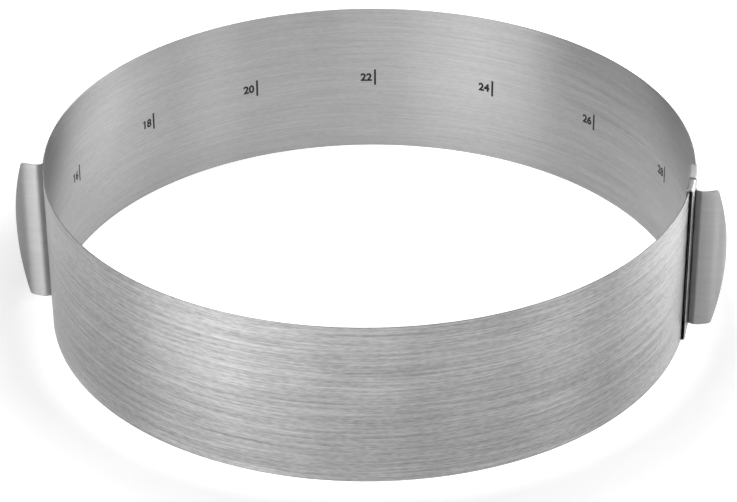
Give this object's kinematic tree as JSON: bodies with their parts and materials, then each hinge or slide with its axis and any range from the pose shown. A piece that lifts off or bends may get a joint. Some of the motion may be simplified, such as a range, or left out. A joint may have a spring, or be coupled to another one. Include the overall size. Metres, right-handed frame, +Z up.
{
  "type": "adjustable cake ring",
  "caption": "Open ring of thin brushed steel strip whose inner end slides through a folded guide to set the cake diameter, with two bowed grips.",
  "frame": {"origin": "on the ring's axis, at table level", "axes": "+Z up along the ring axis, +X towards the guide end, -Y towards the viewer of the picture"},
  "size_m": [0.3366, 0.3049, 0.0816],
  "materials": {
    "band_steel": "brushed along the strip",
    "handle_steel": "satin"
  },
  "bodies": {
    "guide_end": {"band_00": "band_steel", "guide_channel": "band_steel", "clip_handle": "handle_steel"},
    "strip_01": {"band_01": "band_steel"},
    "strip_02": {"band_02": "band_steel"},
    "strip_03": {"band_03": "band_steel"},
    "strip_04": {"band_04": "band_steel"},
    "strip_05": {"band_05": "band_steel"},
    "strip_06": {"band_06": "band_steel"},
    "strip_07": {"band_07": "band_steel"},
    "strip_08": {"band_08": "band_steel"},
    "strip_09": {"band_09": "band_steel"},
    "strip_10": {"band_10": "band_steel"},
    "strip_11": {"band_11": "band_steel"},
    "strip_12": {"band_12": "band_steel"},
    "strip_13": {"band_13": "band_steel"},
    "strip_14": {"band_14": "band_steel"},
    "strip_15": {"band_15": "band_steel"},
    "strip_16": {"band_16": "band_steel"},
    "strip_17": {"band_17": "band_steel"},
    "strip_18": {"band_18": "band_steel"},
    "strip_19": {"band_19": "band_steel"},
    "strip_20": {"band_20": "band_steel"},
    "strip_21": {"band_21": "band_steel"},
    "strip_22": {"band_22": "band_steel"},
    "strip_23": {"band_23": "band_steel"},
    "strip_24": {"band_24": "band_steel", "opposite_handle": "handle_steel"},
    "strip_25": {"band_25": "band_steel"},
    "strip_26": {"band_26": "band_steel"},
    "strip_27": {"band_27": "band_steel"},
    "strip_28": {"band_28": "band_steel"},
    "strip_29": {"band_29": "band_steel"},
    "strip_30": {"band_30": "band_steel"},
    "strip_31": {"band_31": "band_steel"},
    "strip_32": {"band_32": "band_steel"},
    "strip_33": {"band_33": "band_steel"},
    "strip_34": {"band_34": "band_steel"},
    "strip_35": {"band_35": "band_steel"},
    "strip_36": {"band_36": "band_steel"},
    "strip_37": {"band_37": "band_steel"},
    "strip_38": {"band_38": "band_steel"},
    "strip_39": {"band_39": "band_steel"},
    "strip_40": {"band_40": "band_steel"},
    "strip_41": {"band_41": "band_steel"},
    "strip_42": {"band_42": "band_steel"},
    "strip_43": {"band_43": "band_steel"},
    "strip_44": {"band_44": "band_steel"},
    "strip_45": {"band_45": "band_steel"}
  },
  "joints": [
    {"name": "tighten", "type": "hinge", "parent": "guide_end", "child": "strip_01", "pos_m": [0.15194, -0.01528, 0], "axis": [0, 0, 1], "range_deg": [0, 6.5]},
    {"name": "bend_02", "type": "hinge", "parent": "strip_01", "child": "strip_02", "pos_m": [0.15261, 0.00564, 0], "axis": [0, 0, 1], "range_deg": [0, 6.51]},
    {"name": "bend_03", "type": "hinge", "parent": "strip_02", "child": "strip_03", "pos_m": [0.1504, 0.02645, 0], "axis": [0, 0, 1], "range_deg": [0, 6.52]},
    {"name": "bend_04", "type": "hinge", "parent": "strip_03", "child": "strip_04", "pos_m": [0.14537, 0.04676, 0], "axis": [0, 0, 1], "range_deg": [0, 6.52]},
    {"name": "bend_05", "type": "hinge", "parent": "strip_04", "child": "strip_05", "pos_m": [0.13761, 0.0662, 0], "axis": [0, 0, 1], "range_deg": [0, 6.53]},
    {"name": "bend_06", "type": "hinge", "parent": "strip_05", "child": "strip_06", "pos_m": [0.12726, 0.08439, 0], "axis": [0, 0, 1], "range_deg": [0, 6.54]},
    {"name": "bend_07", "type": "hinge", "parent": "strip_06", "child": "strip_07", "pos_m": [0.11452, 0.10099, 0], "axis": [0, 0, 1], "range_deg": [0, 6.54]},
    {"name": "bend_08", "type": "hinge", "parent": "strip_07", "child": "strip_08", "pos_m": [0.09963, 0.1157, 0], "axis": [0, 0, 1], "range_deg": [0, 6.55]},
    {"name": "bend_09", "type": "hinge", "parent": "strip_08", "child": "strip_09", "pos_m": [0.08287, 0.12823, 0], "axis": [0, 0, 1], "range_deg": [0, 6.56]},
    {"name": "bend_10", "type": "hinge", "parent": "strip_09", "child": "strip_10", "pos_m": [0.06455, 0.13834, 0], "axis": [0, 0, 1], "range_deg": [0, 6.56]},
    {"name": "bend_11", "type": "hinge", "parent": "strip_10", "child": "strip_11", "pos_m": [0.04502, 0.14585, 0], "axis": [0, 0, 1], "range_deg": [0, 6.57]},
    {"name": "bend_12", "type": "hinge", "parent": "strip_11", "child": "strip_12", "pos_m": [0.02464, 0.15062, 0], "axis": [0, 0, 1], "range_deg": [0, 6.58]},
    {"name": "bend_13", "type": "hinge", "parent": "strip_12", "child": "strip_13", "pos_m": [0.0038, 0.15255, 0], "axis": [0, 0, 1], "range_deg": [0, 6.58]},
    {"name": "bend_14", "type": "hinge", "parent": "strip_13", "child": "strip_14", "pos_m": [-0.0171, 0.15162, 0], "axis": [0, 0, 1], "range_deg": [0, 6.59]},
    {"name": "bend_15", "type": "hinge", "parent": "strip_14", "child": "strip_15", "pos_m": [-0.03768, 0.14782, 0], "axis": [0, 0, 1], "range_deg": [0, 6.59]},
    {"name": "bend_16", "type": "hinge", "parent": "strip_15", "child": "strip_16", "pos_m": [-0.05755, 0.14125, 0], "axis": [0, 0, 1], "range_deg": [0, 6.6]},
    {"name": "bend_17", "type": "hinge", "parent": "strip_16", "child": "strip_17", "pos_m": [-0.07633, 0.13201, 0], "axis": [0, 0, 1], "range_deg": [0, 6.61]},
    {"name": "bend_18", "type": "hinge", "parent": "strip_17", "child": "strip_18", "pos_m": [-0.09366, 0.12029, 0], "axis": [0, 0, 1], "range_deg": [0, 6.61]},
    {"name": "bend_19", "type": "hinge", "parent": "strip_18", "child": "strip_19", "pos_m": [-0.10923, 0.1063, 0], "axis": [0, 0, 1], "range_deg": [0, 6.62]},
    {"name": "bend_20", "type": "hinge", "parent": "strip_19", "child": "strip_20", "pos_m": [-0.12273, 0.09031, 0], "axis": [0, 0, 1], "range_deg": [0, 6.63]},
    {"name": "bend_21", "type": "hinge", "parent": "strip_20", "child": "strip_21", "pos_m": [-0.13392, 0.07262, 0], "axis": [0, 0, 1], "range_deg": [0, 6.63]},
    {"name": "bend_22", "type": "hinge", "parent": "strip_21", "child": "strip_22", "pos_m": [-0.14257, 0.05357, 0], "axis": [0, 0, 1], "range_deg": [0, 6.64]},
    {"name": "bend_23", "type": "hinge", "parent": "strip_22", "child": "strip_23", "pos_m": [-0.14853, 0.0335, 0], "axis": [0, 0, 1], "range_deg": [0, 6.64]},
    {"name": "bend_24", "type": "hinge", "parent": "strip_23", "child": "strip_24", "pos_m": [-0.15168, 0.01282, 0], "axis": [0, 0, 1], "range_deg": [0, 6.65]},
    {"name": "bend_25", "type": "hinge", "parent": "strip_24", "child": "strip_25", "pos_m": [-0.15196, -0.00811, 0], "axis": [0, 0, 1], "range_deg": [0, 6.66]},
    {"name": "bend_26", "type": "hinge", "parent": "strip_25", "child": "strip_26", "pos_m": [-0.14937, -0.02888, 0], "axis": [0, 0, 1], "range_deg": [0, 6.66]},
    {"name": "bend_27", "type": "hinge", "parent": "strip_26", "child": "strip_27", "pos_m": [-0.14396, -0.04909, 0], "axis": [0, 0, 1], "range_deg": [0, 6.67]},
    {"name": "bend_28", "type": "hinge", "parent": "strip_27", "child": "strip_28", "pos_m": [-0.13582, -0.06837, 0], "axis": [0, 0, 1], "range_deg": [0, 6.68]},
    {"name": "bend_29", "type": "hinge", "parent": "strip_28", "child": "strip_29", "pos_m": [-0.12512, -0.08636, 0], "axis": [0, 0, 1], "range_deg": [0, 6.68]},
    {"name": "bend_30", "type": "hinge", "parent": "strip_29", "child": "strip_30", "pos_m": [-0.11204, -0.1027, 0], "axis": [0, 0, 1], "range_deg": [0, 6.69]},
    {"name": "bend_31", "type": "hinge", "parent": "strip_30", "child": "strip_31", "pos_m": [-0.09685, -0.11709, 0], "axis": [0, 0, 1], "range_deg": [0, 6.7]},
    {"name": "bend_32", "type": "hinge", "parent": "strip_31", "child": "strip_32", "pos_m": [-0.07983, -0.12926, 0], "axis": [0, 0, 1], "range_deg": [0, 6.7]},
    {"name": "bend_33", "type": "hinge", "parent": "strip_32", "child": "strip_33", "pos_m": [-0.0613, -0.13898, 0], "axis": [0, 0, 1], "range_deg": [0, 6.71]},
    {"name": "bend_34", "type": "hinge", "parent": "strip_33", "child": "strip_34", "pos_m": [-0.04161, -0.14607, 0], "axis": [0, 0, 1], "range_deg": [0, 6.71]},
    {"name": "bend_35", "type": "hinge", "parent": "strip_34", "child": "strip_35", "pos_m": [-0.02113, -0.15038, 0], "axis": [0, 0, 1], "range_deg": [0, 6.72]},
    {"name": "bend_36", "type": "hinge", "parent": "strip_35", "child": "strip_36", "pos_m": [-0.00025, -0.15184, 0], "axis": [0, 0, 1], "range_deg": [0, 6.73]},
    {"name": "bend_37", "type": "hinge", "parent": "strip_36", "child": "strip_37", "pos_m": [0.02063, -0.15041, 0], "axis": [0, 0, 1], "range_deg": [0, 6.73]},
    {"name": "bend_38", "type": "hinge", "parent": "strip_37", "child": "strip_38", "pos_m": [0.04111, -0.14613, 0], "axis": [0, 0, 1], "range_deg": [0, 6.74]},
    {"name": "bend_39", "type": "hinge", "parent": "strip_38", "child": "strip_39", "pos_m": [0.06082, -0.13908, 0], "axis": [0, 0, 1], "range_deg": [0, 6.75]},
    {"name": "bend_40", "type": "hinge", "parent": "strip_39", "child": "strip_40", "pos_m": [0.07936, -0.12939, 0], "axis": [0, 0, 1], "range_deg": [0, 6.75]},
    {"name": "bend_41", "type": "hinge", "parent": "strip_40", "child": "strip_41", "pos_m": [0.0964, -0.11724, 0], "axis": [0, 0, 1], "range_deg": [0, 6.76]},
    {"name": "bend_42", "type": "hinge", "parent": "strip_41", "child": "strip_42", "pos_m": [0.11161, -0.10286, 0], "axis": [0, 0, 1], "range_deg": [0, 6.76]},
    {"name": "bend_43", "type": "hinge", "parent": "strip_42", "child": "strip_43", "pos_m": [0.1247, -0.08653, 0], "axis": [0, 0, 1], "range_deg": [0, 6.77]},
    {"name": "bend_44", "type": "hinge", "parent": "strip_43", "child": "strip_44", "pos_m": [0.13541, -0.06856, 0], "axis": [0, 0, 1], "range_deg": [0, 6.78]},
    {"name": "bend_45", "type": "hinge", "parent": "strip_44", "child": "strip_45", "pos_m": [0.14355, -0.04928, 0], "axis": [0, 0, 1], "range_deg": [0, 6.78]}
  ],
  "couplings": [
    {"joint": "bend_02", "follows": "tighten", "ratio": 1.001},
    {"joint": "bend_03", "follows": "tighten", "ratio": 1.002},
    {"joint": "bend_04", "follows": "tighten", "ratio": 1.0029},
    {"joint": "bend_05", "follows": "tighten", "ratio": 1.0039},
    {"joint": "bend_06", "follows": "tighten", "ratio": 1.0049},
    {"joint": "bend_07", "follows": "tighten", "ratio": 1.0059},
    {"joint": "bend_08", "follows": "tighten", "ratio": 1.0068},
    {"joint": "bend_09", "follows": "tighten", "ratio": 1.0078},
    {"joint": "bend_10", "follows": "tighten", "ratio": 1.0088},
    {"joint": "bend_11", "follows": "tighten", "ratio": 1.0098},
    {"joint": "bend_12", "follows": "tighten", "ratio": 1.0108},
    {"joint": "bend_13", "follows": "tighten", "ratio": 1.0117},
    {"joint": "bend_14", "follows": "tighten", "ratio": 1.0127},
    {"joint": "bend_15", "follows": "tighten", "ratio": 1.0137},
    {"joint": "bend_16", "follows": "tighten", "ratio": 1.0147},
    {"joint": "bend_17", "follows": "tighten", "ratio": 1.0156},
    {"joint": "bend_18", "follows": "tighten", "ratio": 1.0166},
    {"joint": "bend_19", "follows": "tighten", "ratio": 1.0176},
    {"joint": "bend_20", "follows": "tighten", "ratio": 1.0186},
    {"joint": "bend_21", "follows": "tighten", "ratio": 1.0195},
    {"joint": "bend_22", "follows": "tighten", "ratio": 1.0205},
    {"joint": "bend_23", "follows": "tighten", "ratio": 1.0215},
    {"joint": "bend_24", "follows": "tighten", "ratio": 1.0225},
    {"joint": "bend_25", "follows": "tighten", "ratio": 1.0235},
    {"joint": "bend_26", "follows": "tighten", "ratio": 1.0244},
    {"joint": "bend_27", "follows": "tighten", "ratio": 1.0254},
    {"joint": "bend_28", "follows": "tighten", "ratio": 1.0264},
    {"joint": "bend_29", "follows": "tighten", "ratio": 1.0274},
    {"joint": "bend_30", "follows": "tighten", "ratio": 1.0283},
    {"joint": "bend_31", "follows": "tighten", "ratio": 1.0293},
    {"joint": "bend_32", "follows": "tighten", "ratio": 1.0303},
    {"joint": "bend_33", "follows": "tighten", "ratio": 1.0313},
    {"joint": "bend_34", "follows": "tighten", "ratio": 1.0322},
    {"joint": "bend_35", "follows": "tighten", "ratio": 1.0332},
    {"joint": "bend_36", "follows": "tighten", "ratio": 1.0342},
    {"joint": "bend_37", "follows": "tighten", "ratio": 1.0352},
    {"joint": "bend_38", "follows": "tighten", "ratio": 1.0362},
    {"joint": "bend_39", "follows": "tighten", "ratio": 1.0371},
    {"joint": "bend_40", "follows": "tighten", "ratio": 1.0381},
    {"joint": "bend_41", "follows": "tighten", "ratio": 1.0391},
    {"joint": "bend_42", "follows": "tighten", "ratio": 1.0401},
    {"joint": "bend_43", "follows": "tighten", "ratio": 1.041},
    {"joint": "bend_44", "follows": "tighten", "ratio": 1.042},
    {"joint": "bend_45", "follows": "tighten", "ratio": 1.043}
  ]
}
